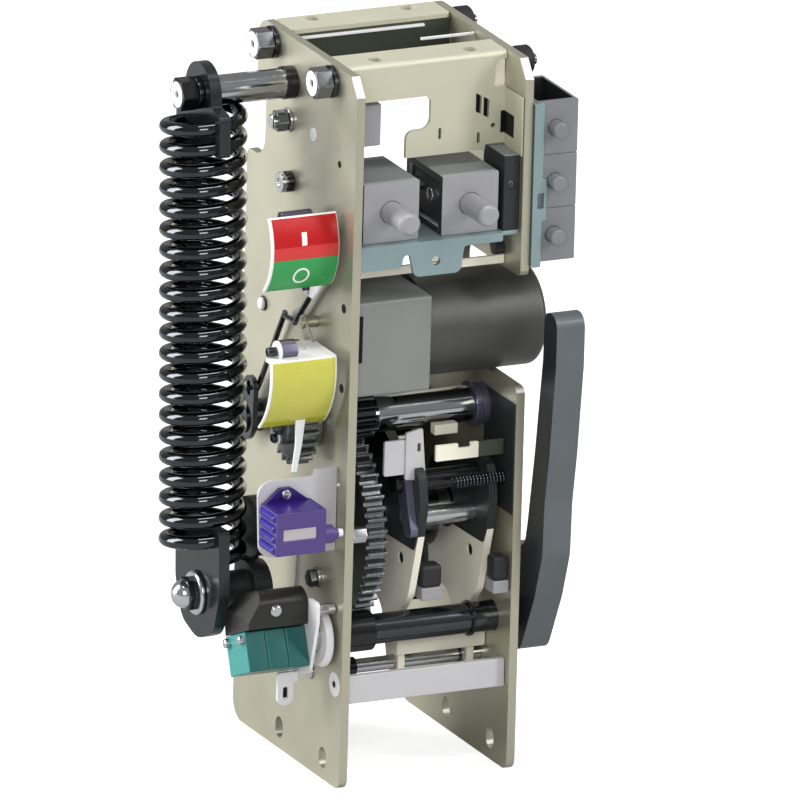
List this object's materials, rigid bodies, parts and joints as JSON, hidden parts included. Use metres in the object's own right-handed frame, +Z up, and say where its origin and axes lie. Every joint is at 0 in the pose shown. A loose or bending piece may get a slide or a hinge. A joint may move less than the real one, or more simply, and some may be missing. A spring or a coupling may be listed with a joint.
{
  "type": "spring operating mechanism",
  "caption": "Spring operating mechanism of an indoor vacuum circuit breaker: side plates, closing spring on a crank, gear train, charging motor, releases, indicators and hand lever.",
  "frame": {"origin": "middle of the object's footprint, on the plane that the side plates stand on", "axes": "+Z up, along the side plates; +X from the spring's side to the hand lever's side, along every shaft; +Y to the rear, so the indicators face -Y"},
  "size_m": [0.2128, 0.167, 0.41],
  "materials": {
    "plate_steel": "pale yellow-chromated sheet steel",
    "panel_steel": "cream, satin",
    "zinc_steel": "blue zinc plating",
    "black_steel": "gloss black",
    "dark_steel": "dark grey, satin",
    "gear_steel": "ground",
    "bright_steel": "turned",
    "motor_paint": "dark grey, satin",
    "gearbox_paint": "mid grey, satin",
    "release_grey": "satin",
    "counter_purple": "satin",
    "switch_teal": "satin",
    "black_plastic": "satin",
    "rubber": "moulded",
    "white_plastic": "satin",
    "indicator_red": "printed sheet, red over green",
    "indicator_yellow": "printed sheet"
  },
  "bodies": {
    "frame": {"left_side_plate": "plate_steel", "right_side_plate": "plate_steel", "left_cheek_plate": "plate_steel", "right_cheek_plate": "plate_steel", "top_front_panel": "panel_steel", "top_rear_strip": "panel_steel", "coil_bracket": "zinc_steel", "release_strip": "zinc_steel", "upper_spring_rod": "black_steel", "front_tie_rod": "dark_steel", "rear_tie_rod": "dark_steel", "pinion_bearing": "dark_steel", "lower_cross_rod": "bright_steel", "rear_cross_rod": "bright_steel", "left_main_bush": "bright_steel", "right_main_bush": "bright_steel", "indicator_pin": "bright_steel", "spring_indicator_pin": "bright_steel", "charging_motor": "motor_paint", "motor_gearbox": "gearbox_paint", "closing_release_coil": "release_grey", "opening_release_coil": "release_grey", "undervoltage_release_1": "release_grey", "undervoltage_release_2": "release_grey", "undervoltage_release_3": "release_grey", "counter_bracket": "release_grey", "operation_counter": "counter_purple", "auxiliary_switch_1": "switch_teal", "auxiliary_switch_2": "switch_teal", "auxiliary_switch_3": "switch_teal", "switch_cover": "black_plastic", "front_rubber_bush": "rubber", "rear_rubber_bush": "rubber", "switch_bracket": "white_plastic", "lower_front_strip": "white_plastic"},
    "main_shaft": {"main_shaft": "gear_steel", "drive_gear": "gear_steel", "charging_crank": "black_steel", "crank_pin_nut": "bright_steel"},
    "spring_foot": {"spring_lower_hanger": "black_steel"},
    "spring_head": {"spring_upper_hanger": "black_steel", "closing_spring": "black_steel"},
    "pinion_shaft": {"pinion_shaft": "gear_steel"},
    "motor_pinion": {"motor_pinion": "gear_steel"},
    "output_shaft": {"output_shaft": "bright_steel", "cam_follower": "dark_steel", "output_lever": "dark_steel"},
    "indicator_link": {"indicator_link": "zinc_steel"},
    "open_closed_indicator": {"open_closed_indicator": "indicator_red"},
    "spring_indicator": {"spring_indicator": "indicator_yellow"},
    "hand_lever": {"hand_lever": "dark_steel", "hand_lever_shaft": "black_steel", "shaft_disc": "white_plastic"},
    "closing_latch": {"closing_half_shaft": "dark_steel"},
    "tripping_latch": {"tripping_half_shaft": "dark_steel"},
    "closing_plunger": {"closing_plunger": "bright_steel"},
    "opening_plunger": {"opening_plunger": "bright_steel"},
    "release_button_1": {"release_button_1": "bright_steel"},
    "release_button_2": {"release_button_2": "bright_steel"},
    "release_button_3": {"release_button_3": "bright_steel"}
  },
  "joints": [
    {"name": "main_shaft_turn", "type": "hinge", "parent": "frame", "child": "main_shaft", "pos_m": [-0.02795, 0.0085, 0.1365], "axis": [1, 0, 0], "range_deg": [0, 176], "deforming": ["closing_spring"]},
    {"name": "spring_foot_pivot", "type": "hinge", "parent": "main_shaft", "child": "spring_foot", "pos_m": [-0.08195, 0.01101, 0.10059], "axis": [1, 0, 0], "range_deg": [-176, 0]},
    {"name": "spring_head_pivot", "type": "hinge", "parent": "frame", "child": "spring_head", "pos_m": [-0.08195, 0.0265, 0.385], "axis": [1, 0, 0], "range_deg": [-1.8, 0]},
    {"name": "pinion_shaft_turn", "type": "hinge", "parent": "frame", "child": "pinion_shaft", "pos_m": [-0.02795, -0.01319, 0.20095], "axis": [1, 0, 0], "range_deg": [-915, 0]},
    {"name": "motor_pinion_turn", "type": "hinge", "parent": "frame", "child": "motor_pinion", "pos_m": [-0.02795, -0.00521, 0.23297], "axis": [1, 0, 0], "range_deg": [0, 1600]},
    {"name": "output_shaft_turn", "type": "hinge", "parent": "frame", "child": "output_shaft", "pos_m": [-0.02795, 0.06, 0.1825], "axis": [1, 0, 0], "range_deg": [-40.1, 0]},
    {"name": "indicator_link_slide", "type": "slide", "parent": "frame", "child": "indicator_link", "axis": [0, 1, 0], "range_m": [0, 0.0138]},
    {"name": "open_closed_indicator_turn", "type": "hinge", "parent": "frame", "child": "open_closed_indicator", "pos_m": [-0.02795, -0.0122, 0.311], "axis": [1, 0, 0], "range_deg": [0, 25.7]},
    {"name": "spring_indicator_turn", "type": "hinge", "parent": "frame", "child": "spring_indicator", "pos_m": [-0.02795, -0.0115, 0.258], "axis": [1, 0, 0], "range_deg": [-30.1, 0]},
    {"name": "hand_lever_stroke", "type": "hinge", "parent": "frame", "child": "hand_lever", "pos_m": [-0.02795, -0.0337, 0.0832], "axis": [1, 0, 0], "range_deg": [0, 60], "stiffness_Nm_per_rad": 1.2, "springref_deg": -34.38},
    {"name": "closing_latch_turn", "type": "hinge", "parent": "frame", "child": "closing_latch", "pos_m": [-0.02795, -0.0315, 0.166], "axis": [1, 0, 0], "range_deg": [0, 20], "stiffness_Nm_per_rad": 0.1, "springref_deg": -22.92},
    {"name": "tripping_latch_turn", "type": "hinge", "parent": "frame", "child": "tripping_latch", "pos_m": [-0.02795, -0.0275, 0.144], "axis": [1, 0, 0], "range_deg": [-20, 0], "stiffness_Nm_per_rad": 0.1, "springref_deg": 22.92},
    {"name": "closing_plunger_press", "type": "slide", "parent": "frame", "child": "closing_plunger", "axis": [0, 1, 0], "range_m": [0, 0.008], "stiffness_N_per_m": 400, "springref_m": -0.005},
    {"name": "opening_plunger_press", "type": "slide", "parent": "frame", "child": "opening_plunger", "axis": [0, 1, 0], "range_m": [0, 0.008], "stiffness_N_per_m": 400, "springref_m": -0.005},
    {"name": "release_button_1_press", "type": "slide", "parent": "frame", "child": "release_button_1", "axis": [0, 1, 0], "range_m": [0, 0.005], "stiffness_N_per_m": 300, "springref_m": -0.004},
    {"name": "release_button_2_press", "type": "slide", "parent": "frame", "child": "release_button_2", "axis": [0, 1, 0], "range_m": [0, 0.005], "stiffness_N_per_m": 300, "springref_m": -0.004},
    {"name": "release_button_3_press", "type": "slide", "parent": "frame", "child": "release_button_3", "axis": [0, 1, 0], "range_m": [0, 0.005], "stiffness_N_per_m": 300, "springref_m": -0.004}
  ],
  "couplings": [
    {"joint": "spring_foot_pivot", "follows": "main_shaft_turn", "ratio": -1},
    {"joint": "spring_head_pivot", "follows": "main_shaft_turn", "ratio": -0.0098},
    {"joint": "pinion_shaft_turn", "follows": "main_shaft_turn", "ratio": -5.1818},
    {"joint": "motor_pinion_turn", "follows": "main_shaft_turn", "ratio": 9.0682},
    {"joint": "output_shaft_turn", "follows": "main_shaft_turn", "ratio": -0.22727},
    {"joint": "indicator_link_slide", "follows": "main_shaft_turn", "m_per_rad": 0.0044537},
    {"joint": "open_closed_indicator_turn", "follows": "main_shaft_turn", "ratio": 0.14486},
    {"joint": "spring_indicator_turn", "follows": "main_shaft_turn", "ratio": -0.17045}
  ]
}
